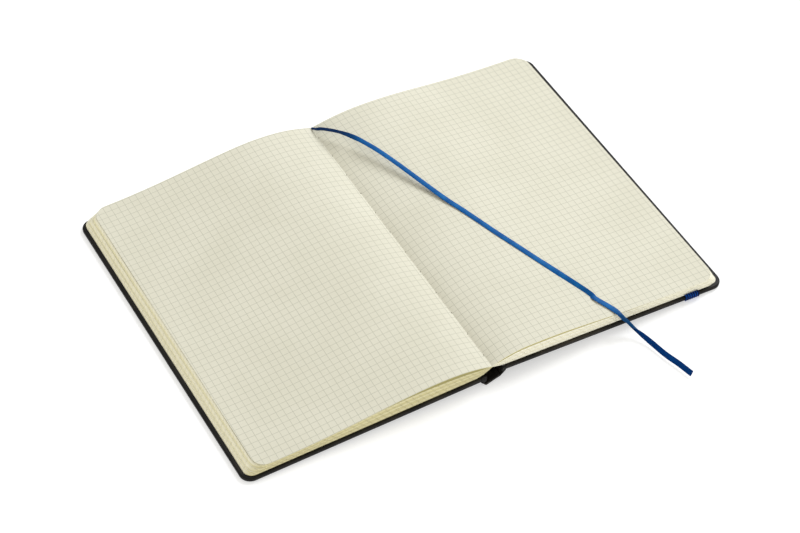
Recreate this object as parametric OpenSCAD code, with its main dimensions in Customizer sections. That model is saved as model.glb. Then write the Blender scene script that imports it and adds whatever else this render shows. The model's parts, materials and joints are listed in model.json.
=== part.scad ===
// Hard-cover squared notebook lying open at its middle.
// X runs across the spread, Y runs to the head of the pages, Z is up.
// The origin lies on the table under the middle of the open cover.
// Front cover at -X, back cover at +X: the covers slope down from the hinges to the table.

/* [Cover] */
// Height of the case from head to tail
cover_h = 211.3; // [180:0.1:240]
// Width of one cover from its hinge line to its fore-edge
cover_w = 138.6; // [115:0.1:165]
// Radius of the covers' fore-edge corners in plan
cover_corner = 6.5; // [4:0.5:14]
// Rounding of the covers' outside edges
cover_edge = 0.8; // [0.4:0.1:1]
// Thickness of the grey board inside each cover
board_t = 1.9; // [1.4:0.1:2.4]
// Thickness of the leatherette
skin_t = 0.3; // [0.2:0.05:0.4]
// Width of the leatherette folded in over the board
turn_in = 12; // [8:0.5:18]
// Thickness of the endpaper glued inside each cover
paste_t = 0.2; // [0.1:0.05:0.3]
// Margin between the endpaper and the edge of the cover
paste_margin = 2.4; // [2:0.1:5]
// Slope of the front cover as it lies open, in degrees
front_lift = 1.5; // [0.5:0.1:2.5]
// Slope of the back cover as it lies open, in degrees
back_lift = 2.5; // [1:0.1:3]

/* [Spine] */
// Distance between the hinge lines of the two covers
spine_gap = 15.2; // [12.6:0.1:18]
// Width of the stiff strip in the spine
strip_w = 9.2; // [7:0.1:10]
// Thickness of the strip
strip_t = 0.7; // [0.5:0.1:1]
// Height of the strip's raised long edge over its lower one
strip_rise = 3; // [1:0.1:3.4]

/* [Pages] */
// Set-back of the pages from the head and tail of the cover
square = 1.5; // [1:0.1:3.5]
// Set-back of the pages from the fore-edges of the covers
fore_square = 2.5; // [1.5:0.1:6]
// Radius of the leaves' fore-edge corners
leaf_corner = 7.5; // [3:0.5:10]
// Height of the gutter over the table
gutter_z = 11; // [10.4:0.1:13]
// Thickness of the folded sheets at the gutter
fold_t = 0.9; // [0.6:0.1:1.6]
// Half the width of the hollow under the folds
hollow_w = 3.4; // [2:0.1:5]
// Height of the left pages at the top of their arch, at the tail
left_arch_tail = 15.4; // [13:0.1:20]
// The same at the head
left_arch_head = 17.9; // [13:0.1:20]
// Distance of that arch from the gutter, at the tail
left_arch_tail_x = 30; // [24:0.5:42]
// The same at the head
left_arch_head_x = 37; // [24:0.5:42]
// Thickness of the left pages at the fore-edge, at the tail
left_stack_tail = 4.3; // [3:0.1:7]
// The same at the head
left_stack_head = 6; // [3:0.1:7]
// Run of the left fore-edge from its lowest to its highest leaf
left_fan = 5.7; // [3:0.1:9]
// How far the left folds hang below their roots on the cover
left_sag = 0.4; // [0:0.1:1.4]
// Height of the right pages at the top of their arch, at the tail
right_arch_tail = 15.8; // [13:0.1:18]
// The same at the head
right_arch_head = 15.2; // [13:0.1:18]
// Distance of that arch from the gutter, at the tail
right_arch_tail_x = 21; // [18:0.5:35]
// The same at the head
right_arch_head_x = 31; // [18:0.5:35]
// Thickness of the right pages at the fore-edge, at the tail
right_stack_tail = 5.4; // [3:0.1:7]
// The same at the head
right_stack_head = 4.7; // [3:0.1:7]
// Run of the right fore-edge from its lowest to its highest leaf
right_fan = 2.8; // [2:0.1:7]
// How far the right folds hang below their roots on the cover
right_sag = 1.2; // [0:0.1:2]
// Thickness of the sewing thread
thread_d = 0.5; // [0.3:0.05:0.7]
// Length of each stitch of thread in the gutter
stitch = 17; // [10:1:24]
// Distance from one stitch to the next
stitch_pitch = 34.6; // [28:0.2:36]

/* [Ribbon and elastic] */
// Width of the ribbon marker
ribbon_w = 3.4; // [2.6:0.1:6]
// Thickness of the ribbon marker
ribbon_t = 0.4; // [0.3:0.05:0.6]
// Width of the elastic band
elastic_w = 7.4; // [5:0.1:10]
// Thickness of the elastic band
elastic_t = 0.6; // [0.4:0.05:0.7]
// Distance from the back cover's fore-edge to the middle of the elastic
elastic_in = 20.4; // [18:0.5:30]
// Length of the elastic's ends glued under the endpaper
elastic_tab = 14; // [8:1:20]

/* [Hidden] */

$fn = 48;
fit = 0.05;
seat = 0.1;
over = 1;
root_gap = 0.3;
bands = 3;
ledge = 0.15;
lip = 0.45;
leather = [0.09, 0.085, 0.08];
paper = [0.93, 0.91, 0.80];
board_grey = [0.55, 0.53, 0.50];
navy = [0.10, 0.22, 0.50];

cover_t = board_t + 2 * skin_t;
page_h = cover_h - 2 * square;
open_w = spine_gap + cover_w * (cos(front_lift) + cos(back_lift));
leaf_w = open_w / 2 - fore_square;

// Hinge lines: each cover's skin meets the table at its rounded lower edge
function hinge_x(lift) = open_w / 2 - cover_w * cos(lift);
function hinge_z(lift) = (cover_w - cover_edge) * sin(lift) + cover_edge * (1 - cos(lift));

// Height over the table of a line that lies w above a cover's outer skin
function over_cover(lift, x, w) = hinge_z(lift) + w / cos(lift) - (x - hinge_x(lift)) * tan(lift);

// Places a cover's own frame: u from the hinge to the fore-edge, Y as the notebook's, w into the book
module front_frame() {
    translate([-hinge_x(front_lift), 0, hinge_z(front_lift)])
        rotate([0, -front_lift, 0])
            mirror([1, 0, 0])
                children();
}

module back_frame() {
    translate([hinge_x(back_lift), 0, hinge_z(back_lift)])
        rotate([0, back_lift, 0])
            children();
}

// Sheet from the hinge line with two rounded corners at its fore-edge
module sheet_outline(start, width, height, corner) {
    translate([start, -height / 2])
        square([width - start - corner, height]);
    translate([width - corner - fit, -height / 2 + corner])
        square([corner + fit, height - 2 * corner]);
    for (side = [-1, 1])
        translate([width - corner, side * (height / 2 - corner)])
            circle(corner);
}

// Section of the cover's rounded edge, from the middle of the cover outward
module edge_section(reach) {
    difference() {
        square([reach, cover_t]);
        for (flip = [0, 1])
            translate([reach, flip * cover_t])
                mirror([0, flip])
                    difference() {
                        translate([-cover_edge, -fit])
                            square([cover_edge + fit, cover_edge + fit]);
                        translate([-cover_edge, cover_edge])
                            circle(cover_edge, $fn = 32);
                    }
    }
}

// Whole outside of one cover: slab, rounded long edges and turned corners
module cover_body() {
    inset = cover_corner;
    run_w = cover_w - inset;
    run_h = cover_h / 2 - inset;
    translate([0, -run_h, 0])
        cube([run_w, 2 * run_h, cover_t]);
    for (side = [0, 1])
        mirror([0, side, 0]) {
            translate([0, run_h, 0])
                rotate([90, 0, 90])
                    linear_extrude(run_w)
                        edge_section(inset);
            translate([run_w, run_h, 0])
                rotate_extrude(angle = 90)
                    edge_section(inset);
        }
    translate([run_w, run_h, 0])
        rotate([90, 0, 0])
            linear_extrude(2 * run_h)
                edge_section(inset);
}

// Room inside the leatherette for the board: full below, open above within the turn-ins
module board_room() {
    translate([0, 0, skin_t])
        linear_extrude(board_t)
            sheet_outline(-over, cover_w - skin_t, cover_h - 2 * skin_t, cover_corner - skin_t);
    translate([0, 0, skin_t])
        linear_extrude(cover_t)
            sheet_outline(-over, cover_w - turn_in, cover_h - 2 * turn_in, over);
}

// The board, with its border pressed down under the turn-ins
module board() {
    color(board_grey)
        difference() {
            intersection() {
                board_room();
                translate([skin_t, -cover_h / 2, 0])
                    cube([cover_w, cover_h, cover_t]);
            }
            children();
        }
}

module cover_wrap() {
    color(leather)
        difference() {
            cover_body();
            board_room();
            children();
        }
}

module pastedown() {
    color(paper)
        translate([0, 0, cover_t])
            linear_extrude(paste_t)
                sheet_outline(skin_t, cover_w - paste_margin, cover_h - 2 * paste_margin, cover_corner - paste_margin);
}

// Pocket for the elastic's glued ends, in the turn-in and the board under the endpaper
module elastic_pockets() {
    for (side = [0, 1])
        mirror([0, side, 0])
            translate([cover_w - elastic_in - elastic_w / 2 - fit, cover_h / 2 - elastic_tab - fit, cover_t - elastic_t])
                cube([elastic_w + 2 * fit, elastic_tab + over, elastic_t + over]);
}

module front_board() {
    front_frame()
        board();
}

module front_cover_wrap() {
    front_frame()
        cover_wrap();
}

module front_pastedown() {
    front_frame()
        pastedown();
}

module back_board() {
    back_frame()
        board()
            elastic_pockets();
}

module back_cover_wrap() {
    back_frame()
        cover_wrap()
            elastic_pockets();
}

module back_pastedown() {
    back_frame()
        pastedown();
}

// Elastic: along the outside of the back cover, round its head and tail, and in under the endpaper
module elastic_band() {
    reach = cover_h / 2 + elastic_t;
    color(navy)
        back_frame()
            translate([cover_w - elastic_in - elastic_w / 2, 0, 0])
                rotate([90, 0, 90])
                    linear_extrude(elastic_w)
                        difference() {
                            rounded_section(reach, -elastic_t, cover_t, cover_edge + elastic_t, cover_edge);
                            rounded_section(cover_h / 2, 0, cover_t - elastic_t, cover_edge, fit);
                            translate([elastic_tab - cover_h / 2, cover_edge])
                                square([cover_h - 2 * elastic_tab, cover_t + over]);
                        }
}

// Section from -reach to reach and from low to high, with rounded corners below and above
module rounded_section(reach, low, high, low_r, high_r) {
    translate([-reach, low + low_r])
        square([2 * reach, high - low - low_r - high_r]);
    translate([low_r - reach, low])
        square([2 * (reach - low_r), low_r + fit]);
    translate([high_r - reach, high - high_r - fit])
        square([2 * (reach - high_r), high_r + fit]);
    for (side = [-1, 1]) {
        translate([side * (reach - low_r), low + low_r])
            circle(low_r);
        translate([side * (reach - high_r), high - high_r])
            circle(high_r);
    }
}

// Spine: the stiff strip hangs between the hinges with its front edge on the table
strip_tilt = asin(strip_rise / strip_w);
strip_mid = (hinge_x(back_lift) - hinge_x(front_lift)) / 2;
groove_bevel = 25;

module spine_frame() {
    translate([strip_mid - strip_w / 2 * cos(strip_tilt), 0, 0])
        rotate([0, -strip_tilt, 0])
            children();
}

module spine_strip() {
    color(board_grey)
        spine_frame()
            translate([skin_t, -cover_h / 2 + skin_t, skin_t])
                cube([strip_w - 2 * skin_t, cover_h - 2 * skin_t, strip_t]);
}

// Leatherette round the strip, with the two grooves that reach up to the hinge lines.
// Its ends at the hinges are bevelled, so that the closed covers clear them.
module spine_wrap() {
    double = 2 * skin_t;
    bevel = double / tan(groove_bevel);
    low = [strip_mid - strip_w / 2 * cos(strip_tilt), 0];
    high = low + [strip_w * cos(strip_tilt), strip_rise];
    front = [-hinge_x(front_lift), hinge_z(front_lift)];
    back = [hinge_x(back_lift), hinge_z(back_lift)];
    down = (low - front) / norm(low - front);
    along = (high - low) / strip_w;
    up = (back - high) / norm(back - high);
    color(leather)
        difference() {
            translate([0, cover_h / 2, 0])
                rotate([90, 0, 0])
                    linear_extrude(cover_h) {
                        polygon([
                            front + seat * down, low, high, back - seat * up,
                            back - (seat + bevel) * up + double * inward(up),
                            high + mitre(along, up, double), low + mitre(down, along, double),
                            front + (seat + bevel) * down + double * inward(down)
                        ]);
                        translate(low)
                            rotate(strip_tilt)
                                translate([0, skin_t])
                                    square([strip_w, skin_t + strip_t]);
                    }
            spine_strip();
        }
}

// Direction square to a run, towards the pages, and the step to a bent band's inner corner between two runs
function inward(run) = [-run[1], run[0]];
function mitre(before, after, thick) = thick * (inward(before) + inward(after)) / (1 + before * after);

// Point at t on a cubic curve with four control points
function on_curve(p, t) =
    pow(1 - t, 3) * p[0] + 3 * t * pow(1 - t, 2) * p[1] + 3 * t * t * (1 - t) * p[2] + pow(t, 3) * p[3];
function curve(p, steps) = [for (i = [1 : steps]) on_curve(p, i / steps)];

// Shape of each side's curve, as shares of its run: where and how high it is pulled near the gutter,
// how long it comes in level at the arch, leaves it level, and lies flat before the fore-edge
left_bow = [0.27, 0.58, 0.46, 0.24, 0.41];
right_bow = [0.25, 0.62, 0.32, 0.33, 0.6];

// Outline of one side's pages, from the gutter over the arch, down the fanned fore-edge and back to the hollow
function side_profile(lift, arch, arch_x, stack, fan, sag, bow) =
    let (
        base = cover_t + paste_t + seat,
        top_x = leaf_w - fan,
        top_z = over_cover(lift, top_x, base) + stack,
        run = top_x - arch_x,
        root_x = hinge_x(lift) - root_gap,
        root_z = over_cover(lift, root_x, base),
        rise = curve([[0, gutter_z], [bow[0] * arch_x, gutter_z + bow[1] * (arch - gutter_z)],
                      [(1 - bow[2]) * arch_x, arch], [arch_x, arch]], 10),
        fall = curve([[arch_x, arch], [arch_x + bow[3] * run, arch], [top_x - bow[4] * run, top_z], [top_x, top_z]], 14),
        edge = [for (i = [0 : bands - 1], share = [[i + ledge, i], [i + 1, i + 1 - lip]])
            let (x = top_x + fan * share[0] / bands)
            [x, over_cover(lift, x, base) + stack * (1 - share[1] / bands)]],
        foot = [[leaf_w, over_cover(lift, leaf_w, base)], [root_x, root_z], [hollow_w, root_z - sag]]
    )
    concat(rise, fall, edge, foot);

// Outline of the whole open block at one end: right side, folded sheets, left side
function block_profile(left_arch, left_arch_x, left_stack, right_arch, right_arch_x, right_stack) =
    let (
        left = side_profile(front_lift, left_arch, left_arch_x, left_stack, left_fan, left_sag, left_bow),
        right = side_profile(back_lift, right_arch, right_arch_x, right_stack, right_fan, right_sag, right_bow),
        last = len(left) - 1
    )
    concat([[0, gutter_z]], right, [[0, gutter_z - fold_t]], [for (i = [last : -1 : 0]) [-left[i][0], left[i][1]]]);

// Body between the block's outlines at the tail and at the head, which have the same number of points
module block_body() {
    tail = block_profile(left_arch_tail, left_arch_tail_x, left_stack_tail,
                         right_arch_tail, right_arch_tail_x, right_stack_tail);
    head = block_profile(left_arch_head, left_arch_head_x, left_stack_head,
                         right_arch_head, right_arch_head_x, right_stack_head);
    n = len(tail);
    polyhedron(
        points = concat([for (p = tail) [p[0], -page_h / 2, p[1]]], [for (p = head) [p[0], page_h / 2, p[1]]]),
        faces = concat(
            [[for (k = [n - 1 : -1 : 0]) k]],
            [[for (k = [0 : n - 1]) n + k]],
            [for (k = [0 : n - 1])
                let (next = (k + 1) % n)
                each [[k, next, n + next], [k, n + next, n + k]]]
        )
    );
}

// Cuts the rounded corners of one side's leaves, leaning with the fan of the fore-edge at the tail and the head
module corner_cuts(lift, stacks, fan) {
    for (end = [0, 1]) {
        lean = atan2(fan, stacks[end]);
        across = leaf_corner * cos(lean);
        reach = 4 * stacks[end];
        arc = [for (a = [90 : -15 : 0]) [-across * (1 - sin(a)), leaf_corner * (1 - cos(a))]];
        outside = [[-across, -leaf_corner], [leaf_corner, -leaf_corner], [leaf_corner, leaf_corner]];
        mirror([0, end, 0])
            translate([leaf_w, -page_h / 2, over_cover(lift, leaf_w, cover_t + paste_t + seat)])
                rotate([0, -lean, 0])
                    translate([0, 0, -reach])
                        linear_extrude(2 * reach)
                            polygon(concat(outside, arc));
    }
}

module page_block() {
    color(paper)
        difference() {
            block_body();
            corner_cuts(back_lift, [right_stack_tail, right_stack_head], right_fan);
            mirror([1, 0, 0])
                corner_cuts(front_lift, [left_stack_tail, left_stack_head], left_fan);
        }
}

// Stitches of the middle section, lying in the gutter
module binding_thread() {
    color("ivory")
        for (i = [-2.5 : 1 : 2.5])
            translate([0, i * stitch_pitch + stitch / 2, gutter_z + 0.62 * thread_d])
                rotate([90, 0, 0])
                    cylinder(h = stitch, d = thread_d, $fn = 24);
}

// Route of the ribbon's middle line: glued under the folds at the head, up over their edge,
// across the right page, over its tail and down to the table
ribbon_route = [
    [0.1, 97.4, 7.6], [0.1, 101.9, 7.6], [0.2, 104.2, 8.1], [0.3, 105, 9.5], [0.2, 105, 11.4],
    [0, 103.6, 12.5], [1, 100.1, 13.6], [2.6, 97.6, 15], [4.5, 94.2, 16.4], [7, 90.3, 17.6],
    [9.8, 85.8, 18.5], [12.9, 80.5, 19.2], [16.3, 73.6, 19.6], [20.4, 63.2, 19.7], [24.9, 50, 19.2],
    [29.3, 35.8, 18.4], [33.8, 22, 17.2], [37.5, 11.3, 16.3], [41.4, 1.2, 15.7], [45.2, -10, 15.3],
    [49.4, -22.7, 15], [54, -35.5, 14.6], [58.6, -48.3, 14.1], [62.9, -60.2, 13.7], [67, -72.3, 13.3],
    [70.2, -81.6, 13], [72.7, -89.9, 12.8], [75.5, -96.6, 12.5], [77.4, -101.7, 12.3], [78.3, -105.9, 12.4],
    [80.5, -107.7, 9.2], [82.5, -109.9, 6.2], [84.3, -112.8, 4.2], [85.9, -117.5, 3], [87.7, -124.6, 2.3],
    [89.7, -134.4, 2.1], [92.2, -143.1, 2.2], [94.3, -152.5, 2.3]
];

// Section of the ribbon at one point of its route: flat across, square to its run
function ribbon_run(i) =
    let (n = len(ribbon_route) - 1, a = ribbon_route[max(i - 1, 0)], b = ribbon_route[min(i + 1, n)])
    (b - a) / norm(b - a);
function ribbon_ring(i) =
    let (
        run = ribbon_run(i),
        side = run[0] * run - [1, 0, 0],
        across = side / norm(side),
        up = cross(across, run),
        half_w = ribbon_w / 2,
        half_t = ribbon_t / 2,
        corner = ribbon_t / 3
    )
    [for (c = [[half_w, -corner], [half_w, corner], [half_w - corner, half_t], [corner - half_w, half_t],
               [-half_w, corner], [-half_w, -corner], [corner - half_w, -half_t], [half_w - corner, -half_t]])
        ribbon_route[i] + c[0] * across + c[1] * up];

module ribbon_marker() {
    rings = len(ribbon_route);
    sides = 8;
    color(navy)
        polyhedron(
            points = [for (i = [0 : rings - 1]) each ribbon_ring(i)],
            faces = concat(
                [[for (k = [0 : sides - 1]) k]],
                [[for (k = [0 : sides - 1]) rings * sides - 1 - k]],
                [for (i = [0 : rings - 2], k = [0 : sides - 1])
                    let (a = i * sides + k, b = i * sides + (k + 1) % sides)
                    [a, a + sides, b + sides, b]]
            )
        );
}

front_board();
front_cover_wrap();
front_pastedown();
back_board();
back_cover_wrap();
back_pastedown();
spine_strip();
spine_wrap();
page_block();
binding_thread();
ribbon_marker();
elastic_band();
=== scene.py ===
"""Hard-cover squared notebook, lying open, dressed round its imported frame. Lengths are in metres."""
import bisect
import json
import math
import random
import bpy
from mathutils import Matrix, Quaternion, Vector, noise


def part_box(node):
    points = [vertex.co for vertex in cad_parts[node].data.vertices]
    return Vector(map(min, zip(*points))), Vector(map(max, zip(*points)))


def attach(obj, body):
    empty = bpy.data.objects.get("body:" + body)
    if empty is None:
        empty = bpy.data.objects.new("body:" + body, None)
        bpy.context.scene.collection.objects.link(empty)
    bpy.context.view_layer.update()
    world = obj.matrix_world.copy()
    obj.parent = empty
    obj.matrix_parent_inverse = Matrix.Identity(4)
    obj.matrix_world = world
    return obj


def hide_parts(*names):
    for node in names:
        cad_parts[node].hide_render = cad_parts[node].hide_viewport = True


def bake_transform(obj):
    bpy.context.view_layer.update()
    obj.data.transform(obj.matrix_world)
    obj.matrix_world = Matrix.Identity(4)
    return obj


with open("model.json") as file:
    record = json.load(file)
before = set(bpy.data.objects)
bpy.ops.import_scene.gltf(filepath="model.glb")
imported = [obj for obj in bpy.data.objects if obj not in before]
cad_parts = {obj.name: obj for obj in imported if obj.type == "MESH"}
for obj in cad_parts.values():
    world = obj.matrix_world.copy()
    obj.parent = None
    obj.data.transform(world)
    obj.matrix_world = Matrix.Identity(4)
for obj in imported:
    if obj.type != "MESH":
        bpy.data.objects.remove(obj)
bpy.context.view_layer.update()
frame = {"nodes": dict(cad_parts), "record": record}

MM = 0.001
SQUARE = 4 * MM

# The camera of the photograph
CAMERA_POINT = Vector((-454.8, -837.4, 988.5)) * MM
CAMERA_TARGET = Vector((-2.8, -7.7, 0)) * MM
CAMERA_LENS = 111.35
SENSOR_WIDTH = 36

# Hinge lines and slopes of the covers as they lie open
JOINTS = {joint["name"]: joint for joint in frame["record"]["behaviour"]["joints"]}
FRONT_HINGE = JOINTS["front_cover_hinge"]["pos_m"]
BACK_HINGE = JOINTS["back_cover_hinge"]["pos_m"]
FRONT_SLOPE = math.radians(1.5)
BACK_SLOPE = math.radians(2.5)

# Sizes of the page block and the covers
PAGES_LOW, PAGES_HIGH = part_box("page_block")
PAGE_H = PAGES_HIGH.y - PAGES_LOW.y
LEAF_W = PAGES_HIGH.x
COVER_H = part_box("back_cover_wrap")[1].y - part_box("back_cover_wrap")[0].y
COVER_LAYERS = 2.8 * MM
GUTTER_Z = 11 * MM
FOLD_T = 0.4 * MM
ROOT_GAP = 0.3 * MM
LEAF_CORNER = 7.5 * MM
LEAVES = 47
LEAF_GROUPS = 12
TOP_LEAF_T = 0.16 * MM
STITCH = 17 * MM
STITCH_PITCH = 34.6 * MM
STITCHES = 6
THREAD_R = 0.17 * MM
# HOLE_SHADE_R and HOLE_SHADE_RISE size the dark rods at the stitches' ends: painted shade in the needle
# holes.
HOLE_SHADE_R = 0.22 * MM
HOLE_SHADE_RISE = 0.06 * MM

# The middle line of the ribbon: the CAD model's, with a slightly tighter turn over the head
RIBBON_ROUTE = [Vector(point) * MM for point in (
    (0.1, 97.4, 7.6), (0.1, 101.9, 7.6), (0.2, 104.2, 8.1), (0.3, 104.8, 9.1), (0.2, 104.7, 10.5),
    (0, 103.3, 11.8), (1, 100.1, 13.4), (2.6, 97.6, 15), (4.5, 94.2, 16.4), (7, 90.3, 17.6),
    (9.8, 85.8, 18.5), (12.9, 80.5, 19.2), (16.3, 73.6, 19.6), (20.4, 63.2, 19.7), (24.9, 50, 19.2),
    (29.3, 35.8, 18.4), (33.8, 22, 17.2), (37.5, 11.3, 16.3), (41.4, 1.2, 15.7), (45.2, -10, 15.3),
    (49.4, -22.7, 15), (54, -35.5, 14.6), (58.6, -48.3, 14.1), (62.9, -60.2, 13.7), (67, -72.3, 13.3),
    (70.2, -81.6, 13), (72.7, -89.9, 12.8), (75.5, -96.6, 12.5), (77.4, -101.7, 12.3), (78.3, -105.9, 12.4),
    (80.5, -107.7, 9.2), (82.5, -109.9, 6.2), (84.3, -112.8, 4.2), (85.9, -117.5, 3), (87.7, -124.6, 2.3),
    (89.7, -134.4, 2.1), (92.2, -143.1, 2.2), (94.3, -152.5, 2.3),
)]
RIBBON_W = 3.4 * MM
RIBBON_T = 0.3 * MM
RIBBON_STEPS = 7
# How far the ribbon is rolled about its run, in degrees, at places counted in the route's points
RIBBON_ROLL = ((0, 0), (3, 0), (5, 90), (9.5, 92), (12.6, 0), (14, -4), (22, -4), (25.6, 42), (25.8, -12),
               (28, -4), (30.8, -74), (33, -118), (38, -122))
# How far its edges curl up, in mm, and the share of its width that it keeps where it is gathered
RIBBON_CURL = ((0, 0.15), (5, 0.3), (9, 0.4), (13, 0.3), (28, 0.25), (30.8, 1.7), (33.5, 0.25), (38, 0.2))
RIBBON_GATHER = ((0, 1), (3, 0.9), (4, 0.35), (5, 0.38), (7, 0.58), (9.5, 0.66), (13, 0.9), (22, 0.96),
                 (29.5, 1), (31.5, 0.62), (34, 1), (38, 1))

# The elastic across the back cover, and its way round an edge: distance past the edge and height, in mm
ELASTIC_W = 8.2 * MM
ELASTIC_T = 1.0 * MM
ELASTIC_PLACE = 117.4 * MM
ELASTIC_RIBS = 6
ELASTIC_RIB_DEPTH = 0.64 * MM
ELASTIC_TURN = ((-14, 2.15), (-3.2, 2.15), (-2.0, 2.8), (-0.9, 3.45), (0.1, 3.4), (0.6, 2.5), (0.6, 1.2),
                (0.2, 0.5), (-0.3, 0.1), (-1.1, -0.06), (-4, -0.06), (-40, -0.06))

# Outlines of the leatherette turned in at the ends of the grooves: distance from the gutter and height, in mm
FRONT_FOLD = ((4.9, 2.2), (4.0, 3.6), (3.8, 6.6), (5.8, 6.9), (7.5, 6.0), (7.5, 3.9))
BACK_FOLD = ((5.8, 4.7), (4.9, 7.2), (6.4, 8.7), (7.6, 8.4), (7.6, 6.2))
# Rings of such a fold: distance past the case's edge, in mm, and size against the outline
FOLD_RINGS = ((0.1, 0.8), (-0.15, 1.0), (-1.2, 1.0), (-1.4, 0.8))


# Camera

def add_camera():
    data = bpy.data.cameras.new("photo_camera")
    data.lens = CAMERA_LENS
    data.sensor_width = SENSOR_WIDTH
    data.clip_start = 0.05
    camera = bpy.data.objects.new("photo_camera", data)
    camera.location = CAMERA_POINT
    camera.rotation_euler = (CAMERA_TARGET - CAMERA_POINT).to_track_quat("-Z", "Y").to_euler()
    bpy.context.collection.objects.link(camera)
    bpy.context.scene.camera = camera


# Small helpers for nodes

class Nodes:
    """Builds one material's node tree."""

    def __init__(self, name):
        self.material = bpy.data.materials.new(name)
        self.material.use_nodes = True
        self.tree = self.material.node_tree
        self.tree.nodes.clear()
        self.shader = self.add("ShaderNodeBsdfPrincipled")
        output = self.add("ShaderNodeOutputMaterial")
        self.link(self.shader.outputs["BSDF"], output.inputs["Surface"])

    def add(self, kind, **settings):
        node = self.tree.nodes.new(kind)
        for key, value in settings.items():
            setattr(node, key, value)
        return node

    def link(self, a, b):
        self.tree.links.new(a, b)

    def feed(self, socket, value):
        if isinstance(value, bpy.types.NodeSocket):
            self.link(value, socket)
        else:
            socket.default_value = value

    def math(self, operation, *values, clamp=False):
        node = self.add("ShaderNodeMath", operation=operation, use_clamp=clamp)
        for socket, value in zip(node.inputs, values):
            self.feed(socket, value)
        return node.outputs[0]

    def ramp(self, value, low, high, start=0.0, end=1.0):
        node = self.add("ShaderNodeMapRange", interpolation_type="SMOOTHSTEP")
        entries = {"Value": value, "From Min": low, "From Max": high, "To Min": start, "To Max": end}
        for key, entry in entries.items():
            self.feed(node.inputs[key], entry)
        return node.outputs["Result"]

    def mix(self, factor, a, b):
        node = self.add("ShaderNodeMix", data_type="RGBA")
        self.feed(node.inputs[0], factor)
        self.feed(node.inputs[6], a)
        self.feed(node.inputs[7], b)
        return node.outputs[2]

    def noise(self, vector, scale, detail=3.0, roughness=0.55):
        node = self.add("ShaderNodeTexNoise")
        self.link(vector, node.inputs["Vector"])
        node.inputs["Scale"].default_value = scale
        node.inputs["Detail"].default_value = detail
        node.inputs["Roughness"].default_value = roughness
        return node.outputs["Fac"]

    def stretched(self, vector, scale):
        node = self.add("ShaderNodeMapping")
        self.link(vector, node.inputs["Vector"])
        node.inputs["Scale"].default_value = scale
        return node.outputs["Vector"]

    def place(self):
        return self.add("ShaderNodeTexCoord").outputs["Object"]

    def uv(self, name):
        return self.add("ShaderNodeUVMap", uv_map=name).outputs["UV"]

    def split(self, vector):
        node = self.add("ShaderNodeSeparateXYZ")
        self.link(vector, node.inputs[0])
        return node.outputs

    def bump(self, height, distance, strength=1.0):
        node = self.add("ShaderNodeBump")
        self.link(height, node.inputs["Height"])
        node.inputs["Distance"].default_value = distance
        node.inputs["Strength"].default_value = strength
        self.link(node.outputs["Normal"], self.shader.inputs["Normal"])

    def set(self, **values):
        for key, value in values.items():
            self.feed(self.shader.inputs[key.replace("_", " ")], value)
        return self.material


def rgb(r, g, b):
    return (r, g, b, 1.0)


# Materials

def page_material():
    """Uncoated cream paper with a fine grey ruling of 4 mm squares."""
    n = Nodes("ruled_paper")
    uv = n.uv("squares")
    u, v, _ = n.split(uv)
    fibres = n.noise(n.place(), 900, 4)
    clouds = n.noise(n.place(), 28, 3)
    ink = n.noise(uv, 3.1, 2)
    lines = []
    for across in (u, v):
        near = n.math("PINGPONG", across, 0.5)
        lines.append(n.ramp(near, 0.022, 0.045, 1.0, 0.0))
    ruled = n.math("MULTIPLY", n.math("MAXIMUM", *lines), n.ramp(ink, 0.2, 0.8, 0.56, 0.82))
    paper = n.mix(n.ramp(clouds, 0.3, 0.7), rgb(0.725, 0.703, 0.575), rgb(0.758, 0.736, 0.61))
    paper = n.mix(n.ramp(fibres, 0.35, 0.75, 0.0, 0.25), paper, rgb(0.68, 0.655, 0.52))
    colour = n.mix(ruled, paper, rgb(0.43, 0.43, 0.345))
    n.bump(fibres, 0.00006, 0.5)
    return n.set(Base_Color=colour, Roughness=0.88, Specular_IOR_Level=0.22)


def edge_material(name, colours, dot, tail_shade_colours=None):
    """Cut edges of the leaves: fine layers in broad bands, with the ruling's ends as slanting rows of dots.
    Colours come as a dark and a light one. At the tail the dots are stronger, and the tail colours, if given,
    paint shade on the tail face."""
    n = Nodes(name)
    uv = n.uv("squares")
    u, v, _ = n.split(uv)
    _, y, _ = n.split(n.place())
    at_tail = n.ramp(y, -103.5 * MM, -98 * MM, 1.0, 0.0)
    layers = n.noise(n.stretched(uv, (0.12, 4.0, 1.0)), 1.0, 5, 0.7)
    wander = n.noise(n.stretched(uv, (0.0, 0.35, 1.0)), 1.0, 2)
    bands = n.math("PINGPONG", n.math("ADD", v, n.math("MULTIPLY", wander, 5)), 9.0)
    bands = n.math("MULTIPLY_ADD", n.ramp(bands, 2.5, 6.5), 0.7, -0.15)
    tone = n.math("MULTIPLY_ADD", layers, 0.6, bands, clamp=True)
    paper = n.mix(tone, *colours)
    # Painted shade: towards the tail the edges take the darker tail colours.
    if tail_shade_colours:
        paper = n.mix(at_tail, paper, n.mix(tone, *tail_shade_colours))
    rows = n.math("MULTIPLY_ADD", v, 0.03, n.math("MULTIPLY_ADD", wander, 0.5, u))
    dots = n.ramp(n.math("PINGPONG", rows, 0.5), 0.06, 0.16, 1.0, 0.0)
    gaps = n.noise(n.stretched(uv, (2.3, 0.6, 1.0)), 1.0, 1)
    dots = n.math("MULTIPLY", dots, n.ramp(gaps, 0.4, 0.58))
    dots = n.math("MULTIPLY", dots, n.ramp(at_tail, 0.0, 1.0, dot * 0.5, dot))
    n.bump(layers, 0.00012, 0.6)
    colour = n.mix(dots, paper, rgb(0.36, 0.32, 0.17))
    return n.set(Base_Color=colour, Roughness=0.92, Specular_IOR_Level=0.15)


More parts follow.
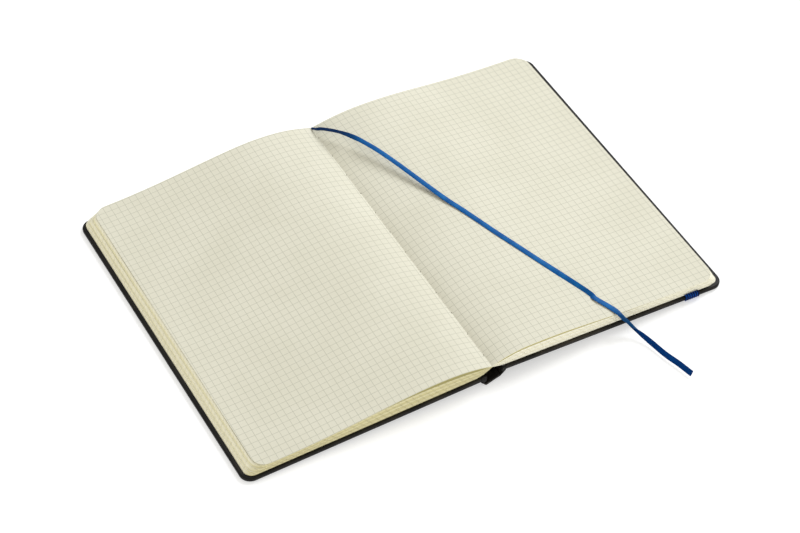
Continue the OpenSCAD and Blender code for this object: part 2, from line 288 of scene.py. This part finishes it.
def leatherette_material():
    """Black leatherette with a fine pebble grain and a dull sheen. Its sharp edges are lighter and browner:
    partly rubbed wear, partly a painted highlight.
    """
    n = Nodes("black_leatherette")
    place = n.place()
    cells = n.add("ShaderNodeTexVoronoi", feature="SMOOTH_F1")
    n.link(place, cells.inputs["Vector"])
    cells.inputs["Scale"].default_value = 1900
    grain = cells.outputs["Distance"]
    creases = n.noise(place, 420, 5, 0.65)
    rubbed = n.noise(place, 60, 4)
    # Rims lighter and browner where the surface is sharp: partly rubbed wear, partly a painted highlight.
    rim_pointiness = n.add("ShaderNodeNewGeometry").outputs["Pointiness"]
    edge = n.math("MULTIPLY", n.ramp(rim_pointiness, 0.52, 0.62), n.ramp(rubbed, 0.35, 0.7))
    skin = n.mix(n.ramp(rubbed, 0.3, 0.75), rgb(0.003, 0.0027, 0.0022), rgb(0.006, 0.0053, 0.0043))
    colour = n.mix(n.math("MULTIPLY", edge, 0.6), skin, rgb(0.045, 0.038, 0.028))
    rough = n.ramp(creases, 0.3, 0.8, 0.50, 0.68)
    n.bump(n.math("MULTIPLY_ADD", grain, 0.8, n.math("MULTIPLY", creases, 0.5)), 0.00012, 0.7)
    return n.set(Base_Color=colour, Roughness=rough, Specular_IOR_Level=0.2)


def board_material():
    n = Nodes("grey_board")
    flecks = n.noise(n.place(), 700, 4, 0.7)
    colour = n.mix(flecks, rgb(0.20, 0.185, 0.16), rgb(0.33, 0.31, 0.27))
    n.bump(flecks, 0.0001)
    return n.set(Base_Color=colour, Roughness=0.95)


def endpaper_material():
    n = Nodes("endpaper")
    fibres = n.noise(n.place(), 800, 4)
    colour = n.mix(fibres, rgb(0.74, 0.715, 0.58), rgb(0.80, 0.775, 0.65))
    n.bump(fibres, 0.00005, 0.5)
    return n.set(Base_Color=colour, Roughness=0.9)


def thread_material():
    n = Nodes("sewing_thread")
    _, y, _ = n.split(n.place())
    plies = n.math("SINE", n.math("MULTIPLY", y, 9000))
    colour = n.mix(n.ramp(plies, -1, 1), rgb(0.62, 0.59, 0.47), rgb(0.82, 0.79, 0.67))
    n.bump(plies, 0.00005)
    return n.set(Base_Color=colour, Roughness=0.7)


# Dark olive brown: painted shade inside a needle hole.
def hole_shade_material():
    return Nodes("needle_hole_painted_shade").set(Base_Color=rgb(0.12, 0.11, 0.07), Roughness=0.95)


def woven_material(name, dark, light, ribs, picks, gloss, relief, width, shadows=()):
    """Woven narrow fabric, with painted shade darkening both edges. Its UV is metres along and across. Ribs
    run along it at one pitch, and picks cross it at the other. Each entry of shadows is a darker colour,
    where along the fabric it starts and ends to fade in or out, and its strength at both."""
    n = Nodes(name)
    along, across, _ = n.split(n.uv("weave"))
    rib = n.math("SINE", n.math("MULTIPLY", across, 2 * math.pi / ribs))
    pick = n.math("SINE", n.math("MULTIPLY", along, 2 * math.pi / picks))
    weave = n.math("MULTIPLY_ADD", rib, 0.5, n.math("MULTIPLY", pick, 0.25))
    cloud = n.noise(n.place(), 160, 2)
    tone = n.math("MULTIPLY_ADD", weave, relief, cloud)
    colour = n.mix(n.ramp(tone, 0.2, 0.85), dark, light)
    # Painted shade: both edges darken, as on a cambered strip whose edges turn from the light.
    from_middle = n.math("ABSOLUTE", n.math("ADD", across, -width / 2))
    colour = n.mix(n.ramp(from_middle, 0.33 * width, 0.47 * width, 0.0, 0.55), colour, dark)
    for shadow, start, end, first, last in shadows:
        colour = n.mix(n.ramp(along, start, end, first, last), colour, shadow)
    n.bump(weave, 0.00004, 0.6)
    return n.set(Base_Color=colour, Roughness=0.5, Specular_IOR_Level=gloss)


# Meshes

def make_object(name, vertices, faces, materials, face_material=None, uv=None, uv_name="squares"):
    """Mesh object from points and faces. face_material and uv give each face's slot and corners."""
    mesh = bpy.data.meshes.new(name)
    mesh.from_pydata([tuple(point) for point in vertices], [], faces)
    for material in materials:
        mesh.materials.append(material)
    if face_material:
        mesh.polygons.foreach_set("material_index", face_material)
    if uv:
        layer = mesh.uv_layers.new(name=uv_name)
        for polygon in mesh.polygons:
            for corner in polygon.loop_indices:
                layer.data[corner].uv = uv[polygon.index][corner - polygon.loop_start]
    mesh.validate()
    mesh.update()
    obj = bpy.data.objects.new(name, mesh)
    bpy.context.collection.objects.link(obj)
    return obj


def shade(obj, angle=30):
    """Smooth faces, with sharp edges where the surface turns by more than the angle."""
    for polygon in obj.data.polygons:
        polygon.use_smooth = True
    obj.data.set_sharp_from_angle(angle=math.radians(angle))


def cubic(points, t):
    a, b, c, d = points
    s = 1 - t
    return tuple(s ** 3 * a[k] + 3 * t * s * s * b[k] + 3 * t * t * s * c[k] + t ** 3 * d[k] for k in (0, 1))


def between(a, b, t):
    return a + (b - a) * t


def smooth_step(t):
    t = min(max(t, 0.0), 1.0)
    return t * t * (3 - 2 * t)


# Pages

class Side:
    """One half of the open block. x runs from the gutter outward, whichever side it is."""

    def __init__(self, name, sign, body, hinge, slope, **shape):
        self.name = name
        self.sign = sign
        self.body = body
        self.hinge_x = abs(hinge[0])
        self.hinge_z = hinge[2]
        self.slope = slope
        self.profiles = {}
        for key, value in shape.items():
            setattr(self, key, value)
        self.end_x = LEAF_W - self.fan

    def cover(self, x):
        """Height of the cover's inner face, where the lowest leaf lies."""
        root = self.hinge_x - ROOT_GAP
        if x < root:
            root_z = self.cover(root)
            if x < self.hollow_w:
                return between(GUTTER_Z - FOLD_T, root_z - self.sag, x / self.hollow_w)
            return between(root_z - self.sag, root_z, (x - self.hollow_w) / (root - self.hollow_w))
        return self.hinge_z + COVER_LAYERS / math.cos(self.slope) - (x - self.hinge_x) * math.tan(self.slope)

    def profile(self, y):
        """The top leaf's section at y: points from the gutter outward with their distance along the leaf."""
        key = round(y, 5)
        if key in self.profiles:
            return self.profiles[key]
        share = (y + PAGE_H / 2) / PAGE_H
        arch_x, arch_z, stack = (between(a, b, share) * MM for a, b in zip(self.tail, self.head))
        end_z = self.cover(self.end_x) + stack
        lift_x, lift_z, crest = self.rise
        rise = ((0, GUTTER_Z), (lift_x * arch_x, between(GUTTER_Z, arch_z, lift_z)),
                ((1 - crest) * arch_x, arch_z), (arch_x, arch_z))
        run = self.end_x - arch_x
        crest, flat = self.fall
        fall = ((arch_x, arch_z), (arch_x + crest * run, arch_z),
                (self.end_x - flat * run, end_z + self.lift * run), (self.end_x, end_z))
        points = [cubic(rise, i / 40) for i in range(40)] + [cubic(fall, i / 60) for i in range(61)]
        lengths = [0.0]
        for a, b in zip(points, points[1:]):
            lengths.append(lengths[-1] + math.dist(a, b))
        self.profiles[key] = ([p[0] for p in points], [p[1] for p in points], lengths)
        return self.profiles[key]

    def top(self, x, y):
        """Height of the top leaf at x and y, and its distance from the gutter along the leaf."""
        xs, zs, lengths = self.profile(y)
        i = min(max(bisect.bisect(xs, x) - 1, 0), len(xs) - 2)
        t = (x - xs[i]) / (xs[i + 1] - xs[i])
        return between(zs[i], zs[i + 1], t), between(lengths[i], lengths[i + 1], t)

    def squares(self, distance, y):
        """Place in the ruling: columns and rows."""
        column = self.first_column + self.sign * (distance - self.skew * y) / SQUARE
        return column, self.first_row + (PAGE_H / 2 - y) / SQUARE


# tail and head: place and height of the top leaf's arch, and thickness at its fore-edge, in mm.
# rise and fall: how the arch leaves the gutter and comes down to the fore-edge, as shares of its width.
# sag and hollow_w: drop of the lowest leaf beside the gutter, and width of its fold.
# head_over and low_over: how far the top and the lowest leaves stick out at the head.
# tail_gap, gap_x and gap_reach: height, middle and half width of the gap under the top leaf at the tail.
# blend_to: hinge line of the cover that the pages would turn with, in mm; not used.
# first_column, first_row and skew: where the ruling starts, in squares, and how it leans.
LEFT = Side("left_pages", -1, "front_cover", FRONT_HINGE, FRONT_SLOPE,
            tail=(30, 15.4, 4.3), head=(37, 17.9, 6.0), fan=5.7 * MM, sag=-1.6 * MM, hollow_w=4.2 * MM,
            rise=(0.27, 0.58, 0.46), fall=(0.24, 0.41), lift=0.0, head_over=0.3 * MM, low_over=0.9 * MM,
            low_corner=4.5 * MM, tail_gap=2.1 * MM, gap_reach=26 * MM,
            blend_to=(-7.6, 3.6), gap_x=24 * MM, first_column=33.42, first_row=-1.02, skew=-0.007)
RIGHT = Side("right_pages", 1, "back_cover", BACK_HINGE, BACK_SLOPE,
             tail=(21, 15.8, 5.4), head=(31, 15.2, 4.7), fan=2.8 * MM, sag=-0.9 * MM, hollow_w=3.4 * MM,
             rise=(0.25, 0.62, 0.32), fall=(0.33, 0.6), lift=0.011, head_over=0.0, low_over=0.0,
             low_corner=7 * MM, tail_gap=1.3 * MM, gap_reach=55 * MM,
             blend_to=(7.6, 6.0), gap_x=30 * MM, first_column=-0.955, first_row=-0.29, skew=0.001)


def plan_columns(end_x, corner, count):
    """Places from the gutter to the fore-edge, with the half height that the rounded corner leaves there."""
    straight = end_x - corner
    columns = [(straight * (i / count) ** 1.35, 0.0) for i in range(count + 1)]
    for step in range(1, 8):
        angle = step / 7 * math.pi / 2
        columns.append((straight + corner * math.sin(angle), corner * (1 - math.cos(angle))))
    return columns


class Slab:
    """Collects closed slabs of leaves into one mesh. wall is the material slot of the cut edges."""

    def __init__(self):
        self.vertices = []
        self.faces = []
        self.slots = []
        self.uv = []
        self.wall = 1

    def add(self, side, plans, rows, half_h, surfaces, leaves=(0, 1), phase=0.0, head_over=0.0):
        """plans and surfaces hold the upper and the lower face: its columns, and its height at x and y.
        leaves numbers the slab's lowest and highest leaf, phase shifts its ruling along the page, and
        head_over is how far it sticks out at the head."""
        start = len(self.vertices)
        wide = len(plans[0])
        tall = len(rows)
        marks = []
        for columns, surface in zip(plans, surfaces):
            for x, cut in columns:
                for row in rows:
                    y = row * (half_h - cut + (head_over if row > 0 else 0.0))
                    self.vertices.append(Vector((side.sign * x, y, surface(x, y))))
                    inner_x = min(x, side.end_x)
                    column, line = side.squares(side.top(inner_x, y)[1] + x - inner_x, y)
                    marks.append((column, line + phase))

        def index(layer, i, j):
            return start + layer * wide * tall + i * tall + j

        def face(corners, slot_here, uvs):
            if side.sign < 0:
                corners = corners[::-1]
                uvs = uvs[::-1]
            self.faces.append(corners)
            self.slots.append(slot_here)
            self.uv.append(uvs)

        def mark(layer, i, j):
            return marks[layer * wide * tall + i * tall + j]

        for i in range(wide - 1):
            for j in range(tall - 1):
                quad = [(i, j), (i + 1, j), (i + 1, j + 1), (i, j + 1)]
                face([index(0, *q) for q in quad], 0, [mark(0, *q) for q in quad])
                quad = quad[::-1]
                face([index(1, *q) for q in quad], 0, [mark(1, *q) for q in quad])

        def wall(a, b, which):
            """Wall between two neighbours on the rim. Its marks run along the rim and through the leaves."""
            near = mark(0, *a)[which]
            far = mark(0, *b)[which]
            low, high = leaves
            corners = [index(1, *a), index(1, *b), index(0, *b), index(0, *a)]
            face(corners, self.wall, [(near, low), (far, low), (far, high), (near, high)])

        for i in range(wide - 1):
            wall((i, 0), (i + 1, 0), 0)
            wall((i + 1, tall - 1), (i, tall - 1), 0)
        for j in range(tall - 1):
            wall((wide - 1, j), (wide - 1, j + 1), 1)
            wall((0, j + 1), (0, j), 1)


def even_rows(count):
    """Rows from the tail to the head, as shares of the half height."""
    return [-1 + 2 * j / count for j in range(count + 1)]


def make_pages(side, bands, seed, materials):
    """The leaves of one side: groups whose edges fan out, with a step after each band, a few loose leaves
    under the top one, their edges painted dark as shade in the gap, and the top leaf over them all."""
    picks = random.Random(seed)
    slab = Slab()
    rows = even_rows(16)
    tuck = 0.2 * MM
    ledge = 0.35 * MM

    def slot_height(x, y):
        """Gap under the top leaf: widest at the tail beside the gutter."""
        near = math.exp(-((x - side.gap_x) / side.gap_reach) ** 2)
        tail = smooth_step((-y - 20 * MM) / (70 * MM))
        return (TOP_LEAF_T + side.tail_gap * (0.05 + 0.95 * near * tail)) * smooth_step(x / (7 * MM))

    def stack_top(x, y):
        inner_x = min(x, side.end_x)
        return max(side.top(inner_x, y)[0] - slot_height(inner_x, y), side.cover(x) + 0.2 * MM)

    def loose_top(x, y):
        under_leaf = side.top(min(x, side.end_x), y)[0] - TOP_LEAF_T - 0.05 * MM
        return max(stack_top(x, y), under_leaf)

    def leaf_top(x, y):
        ripple = noise.noise(Vector((x * 26, y * 17, side.sign * 3.0))) * 0.16 * MM
        return side.top(min(x, side.end_x), y)[0] + ripple * smooth_step((x - 20 * MM) / (40 * MM))

    def leaf_under(x, y):
        return leaf_top(x, y) - TOP_LEAF_T

    def level(share):
        return lambda x, y: between(side.cover(x), stack_top(x, y), share)

    slant = (side.fan - ledge * (len(bands) + 1)) / LEAF_GROUPS
    inset = 0.0
    for k in range(LEAF_GROUPS):
        low, high = k / LEAF_GROUPS, (k + 1) / LEAF_GROUPS
        low_end = LEAF_W - inset + picks.uniform(-0.08, 0.08) * MM
        corner = between(side.low_corner, LEAF_CORNER, high)
        plans = [plan_columns(end_x, corner, 22) for end_x in (low_end - slant, low_end)]
        half_h = PAGE_H / 2 - tuck * high + picks.uniform(-0.1, 0.06) * MM
        phase = picks.uniform(-0.12, 0.12)
        head_over = between(side.low_over, side.head_over, high)
        slab.add(side, plans, rows, half_h, (level(high), level(low)), (LEAVES * low, LEAVES * high), phase,
                 head_over)
        inset += slant + (ledge if k in bands else 0)

    # The loose leaves' edges take slot 2, a dark olive: painted shade in the gap under the top leaf.
    slab.wall = 2
    columns = plan_columns(side.end_x - 0.5 * MM, LEAF_CORNER, 22)
    slab.add(side, (columns, columns), rows, PAGE_H / 2 - 0.12 * MM, (loose_top, stack_top),
             head_over=0.7 * MM + side.head_over)
    slab.wall = 1
    columns = plan_columns(side.end_x, LEAF_CORNER, 64)
    slab.add(side, (columns, columns), even_rows(48), PAGE_H / 2, (leaf_top, leaf_under),
             head_over=side.head_over)
    pages = make_object(side.name, slab.vertices, slab.faces, materials, slab.slots, slab.uv)
    shade(pages, 40)
    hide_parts("page_block")
    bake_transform(pages)


# Ribbon

def smooth_route(route, steps):
    """Points of a curve through the route, with the same number of steps in each stretch."""
    points = []
    last = len(route) - 1
    for i in range(last):
        before = route[max(i - 1, 0)]
        after = route[min(i + 2, last)]
        for step in range(steps):
            t = step / steps
            a = route[i]
            b = route[i + 1]
            points.append(0.5 * (2 * a + (b - before) * t + (2 * before - 5 * a + 4 * b - after) * t * t
                                 + (3 * a - before - 3 * b + after) * t ** 3))
    points.append(route[last].copy())
    return points


def along_route(table, place):
    """Value of a table at a place along the route, counted in its points."""
    for (start, low), (end, high) in zip(table, table[1:]):
        if place <= end:
            return between(low, high, smooth_step((place - start) / (end - start)))
    return table[-1][1]


def make_ribbon(face, back):
    """The woven marker as a thin closed strip that follows its route and turns over once near the tail."""
    route = smooth_route(RIBBON_ROUTE, RIBBON_STEPS)
    lengths = [0.0]
    for a, b in zip(route, route[1:]):
        lengths.append(lengths[-1] + (b - a).length)
    half = 6
    vertices, faces, slots, uv = [], [], [], []
    sides = 2 * (half + 1)
    for i, point in enumerate(route):
        run = (route[min(i + 1, len(route) - 1)] - route[max(i - 1, 0)]).normalized()
        across = (Vector((1, 0, 0)) - run * run.x).normalized()
        across.rotate(Quaternion(run, math.radians(along_route(RIBBON_ROLL, i / RIBBON_STEPS))))
        down = across.cross(run)
        curl = along_route(RIBBON_CURL, i / RIBBON_STEPS) * MM
        half_w = along_route(RIBBON_GATHER, i / RIBBON_STEPS) * RIBBON_W / 2
        for face_side in (1, -1):
            for k in range(half + 1):
                share = (k / half * 2 - 1) * face_side
                camber = (share * share - 0.5) * curl
                half_t = RIBBON_T / 2 * (1 - 0.3 * share ** 4)
                vertices.append(point + across * share * half_w + down * (camber + face_side * half_t))
    for i in range(len(route) - 1):
        for k in range(sides):
            a = i * sides + k
            b = i * sides + (k + 1) % sides
            faces.append((a, b, b + sides, a + sides))
            slots.append(1 if k <= half else 0)
            marks = []
            for ring, spot in ((i, k), (i, k + 1), (i + 1, k + 1), (i + 1, k)):
                spot = spot % sides
                share = min(spot, sides - 1 - spot) / half
                marks.append((lengths[ring], share * RIBBON_W))
            uv.append(marks)
    faces.append(tuple(range(sides))[::-1])
    slots.append(1)
    uv.append([(0, 0)] * sides)
    top = (len(route) - 1) * sides
    faces.append(tuple(range(top, top + sides)))
    slots.append(1)
    uv.append([(0, 0)] * sides)
    ribbon = make_object("ribbon", vertices, faces, [face, back], slots, uv, "weave")
    shade(ribbon, 50)
    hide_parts("ribbon_marker")
    return ribbon


# Elastic

def make_elastic(material):
    """The woven elastic round the back cover. Its ribs run along it and its ends go under the endpaper."""
    turn = [(COVER_H / 2 + past * MM, height * MM) for past, height in ELASTIC_TURN]
    path = [(-y, w) for y, w in turn] + [(y, w) for y, w in turn[::-1]]
    across = ELASTIC_RIBS * 8
    ring = 2 * (across + 1)
    hinge_x, _, hinge_z = BACK_HINGE
    cos_slope, sin_slope = math.cos(BACK_SLOPE), math.sin(BACK_SLOPE)
    lengths = [0.0]
    for a, b in zip(path, path[1:]):
        lengths.append(lengths[-1] + math.dist(a, b))
    vertices, faces, uv = [], [], []
    for i, (y, w) in enumerate(path):
        before, after = path[max(i - 1, 0)], path[min(i + 1, len(path) - 1)]
        run = Vector((after[0] - before[0], after[1] - before[1])).normalized()
        for face_side in (1, -1):
            for k in range(across + 1):
                share = (k / across * 2 - 1) * face_side
                out = face_side * ELASTIC_T / 2
                if face_side > 0:
                    out += ELASTIC_RIB_DEPTH / 2 * (math.cos(share * ELASTIC_RIBS * math.pi) - 1)
                u = ELASTIC_PLACE + share * ELASTIC_W / 2
                high = w - run.x * out
                vertices.append(Vector((hinge_x + u * cos_slope + high * sin_slope, y + run.y * out,
                                        hinge_z - u * sin_slope + high * cos_slope)))
    for i in range(len(path) - 1):
        for k in range(ring):
            a = i * ring + k
            b = i * ring + (k + 1) % ring
            faces.append((a, a + ring, b + ring, b))
            near, far = (min(spot, ring - 1 - spot) / across * ELASTIC_W for spot in (k, (k + 1) % ring))
            start, end = lengths[i], lengths[i + 1]
            uv.append([(start, near), (end, near), (end, far), (start, far)])
    last = (len(path) - 1) * ring
    faces.append(tuple(range(ring)))
    faces.append(tuple(range(last, last + ring))[::-1])
    uv += [[(0, 0)] * ring] * 2
    elastic = make_object("elastic", vertices, faces, [material], uv=uv, uv_name="weave")
    shade(elastic, 50)
    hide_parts("elastic_band")
    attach(elastic, "back_cover")


# Thread

def make_thread(thread, hole_shade):
    """Stitches in the gutter, sunk between the two leaves, with dark rods at their ends as painted shade in
    the needle holes.
    """
    sides = 10
    hole_shade_reach = 0.2 * MM
    vertices, faces, slots = [], [], []
    for i in range(STITCHES):
        middle = (i - (STITCHES - 1) / 2) * STITCH_PITCH
        ends = (middle - STITCH / 2, middle + STITCH / 2)
        rods = [(ends[0], ends[1], THREAD_R, 0.0, 0)]
        rods += [(y - hole_shade_reach, y + hole_shade_reach, HOLE_SHADE_R, HOLE_SHADE_RISE, 1) for y in ends]
        for low, high, radius, rise, slot_here in rods:
            start = len(vertices)
            for y in (low, high):
                for k in range(sides):
                    angle = 2 * math.pi * k / sides
                    z = GUTTER_Z + rise + radius * math.sin(angle)
                    vertices.append(Vector((radius * math.cos(angle), y, z)))
            for k in range(sides):
                after = (k + 1) % sides
                faces.append((start + k, start + after, start + sides + after, start + sides + k))
            faces.append(tuple(range(start, start + sides))[::-1])
            faces.append(tuple(range(start + sides, start + 2 * sides)))
            slots += [slot_here] * (sides + 2)
    stitches = make_object("stitches", vertices, faces, [thread, hole_shade], slots)
    shade(stitches, 50)
    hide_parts("binding_thread")
    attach(stitches, "spine")


# Groove folds

def make_groove_folds(side, name, outline, leatherette):
    """The leatherette turned in at the head and the tail of one groove, as small pads beside the hinge."""
    vertices, faces = [], []
    count = len(outline)
    centre_x = sum(x for x, _ in outline) / count
    centre_z = sum(z for _, z in outline) / count
    for end in (-1, 1):
        start = len(vertices)
        for past, size in FOLD_RINGS:
            y = end * (COVER_H / 2 + past * MM)
            for x, z in outline:
                pad_x = side.sign * between(centre_x, x, size) * MM
                vertices.append(Vector((pad_x, y, between(centre_z, z, size) * MM)))
        order = end * side.sign
        for ring in range(len(FOLD_RINGS) - 1):
            for k in range(count):
                a = start + ring * count + k
                b = start + ring * count + (k + 1) % count
                faces.append((a, b, b + count, a + count)[::order])
        last = len(vertices) - count
        faces.append(tuple(range(start, start + count))[::-order])
        faces.append(tuple(range(last, last + count))[::order])
    folds = make_object(name, vertices, faces, [leatherette])
    shade(folds, 35)
    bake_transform(folds)


# Stage and light

def make_stage():
    """Plain pale floor that glows a little, so that it goes to white round the shadow."""
    n = Nodes("pale_floor")
    n.set(Base_Color=rgb(0.64, 0.64, 0.64), Roughness=0.9)
    n.set(Emission_Color=rgb(1, 1, 1), Emission_Strength=0.50)
    half = 4.0
    corners = [(-half, -half, 0), (half, -half, 0), (half, half, 0), (-half, half, 0)]
    floor = make_object("floor", [Vector(c) for c in corners], [(0, 1, 2, 3)], [n.material])


def add_area_light(name, place, target, size, power, colour=(1, 1, 1)):
    data = bpy.data.lights.new(name, "AREA")
    data.shape = "DISK"
    data.size = size
    data.energy = power
    data.color = colour
    light = bpy.data.objects.new(name, data)
    light.location = place
    light.rotation_euler = (Vector(target) - Vector(place)).to_track_quat("-Z", "Y").to_euler()
    bpy.context.collection.objects.link(light)


def add_light():
    world = bpy.data.worlds.new("soft_studio")
    world.use_nodes = True
    world.node_tree.nodes["Background"].inputs[0].default_value = (1, 0.98, 0.92, 1)
    world.node_tree.nodes["Background"].inputs[1].default_value = 0.6
    bpy.context.scene.world = world
    add_area_light("key", (1.75, 0.8, 1.6), (0, 0, 0), 1.3, 46, (0.97, 1, 1.07))
    add_area_light("fill", (-2.0, -0.8, 0.25), (0, 0, 0), 0.9, 10)
    add_area_light("front_fill", (0.9, -2.0, 0.3), (0.08, 0, 0), 0.9, 4.5)
    bpy.context.scene.view_settings.view_transform = "Standard"


def dress_frame_nodes(leatherette):
    """Materials of the CAD nodes that stay in the picture."""
    finishes = {
        "front_cover_wrap": leatherette, "back_cover_wrap": leatherette, "spine_wrap": leatherette,
        "front_board": board_material(), "front_pastedown": endpaper_material(),
    }
    finishes["back_board"] = finishes["spine_strip"] = finishes["front_board"]
    finishes["back_pastedown"] = finishes["front_pastedown"]
    for name, material in finishes.items():
        slots = frame["nodes"][name].material_slots
        for entry in slots:
            entry.material = material


add_camera()
satin_shadows = ((rgb(0, 0.023, 0.105), 30 * MM, 54 * MM, 1.0, 0.0),
                 (rgb(0, 0.045, 0.14), 229 * MM, 242 * MM, 0.0, 1.0))
satin = woven_material("blue_satin", rgb(0.002, 0.07, 0.27), rgb(0.008, 0.145, 0.42), 0.5 * MM, 0.35 * MM,
                       0.1, 0.3, RIBBON_W, satin_shadows)
satin_back = woven_material("blue_satin_back", rgb(0, 0.025, 0.13), rgb(0, 0.044, 0.20), 0.5 * MM, 0.35 * MM,
                            0.03, 0.3, RIBBON_W)
ribbon_piece = make_ribbon(satin, satin_back)
ruled = page_material()
# The tail colours are darker than the others: painted shade on the tail faces, most of it on the left.
left_edges = edge_material("left_leaf_edges", (rgb(0.86, 0.80, 0.50), rgb(0.94, 0.90, 0.71)), 0.55,
                           (rgb(0.65, 0.585, 0.30), rgb(0.76, 0.705, 0.44)))
right_edges = edge_material("right_leaf_edges", (rgb(0.92, 0.88, 0.68), rgb(0.97, 0.945, 0.84)), 0.3,
                            (rgb(0.90, 0.86, 0.64), rgb(0.96, 0.935, 0.80)))
# Dark olive edges for the loose leaves: painted shade in the gap under the top leaf.
left_loose_shade = edge_material("left_loose_edges_painted_shade", (rgb(0.36, 0.32, 0.13), rgb(0.42, 0.38, 0.17)), 0.3)
right_loose_shade = edge_material("right_loose_edges_painted_shade", (rgb(0.50, 0.45, 0.21), rgb(0.58, 0.52, 0.27)), 0.2)
make_pages(LEFT, (3, 7), 5, [ruled, left_edges, left_loose_shade])
make_pages(RIGHT, (5,), 11, [ruled, right_edges, right_loose_shade])
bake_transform(ribbon_piece)
make_elastic(woven_material("navy_elastic", rgb(0.0, 0.006, 0.045), rgb(0.0, 0.095, 0.52),
                            ELASTIC_W / ELASTIC_RIBS, 0.5 * MM, 0.1, 0.9, ELASTIC_W))
make_thread(thread_material(), hole_shade_material())
leatherette = leatherette_material()
make_groove_folds(LEFT, "front_groove_folds", FRONT_FOLD, leatherette)
make_groove_folds(RIGHT, "back_groove_folds", BACK_FOLD, leatherette)
dress_frame_nodes(leatherette)
make_stage()
add_light()
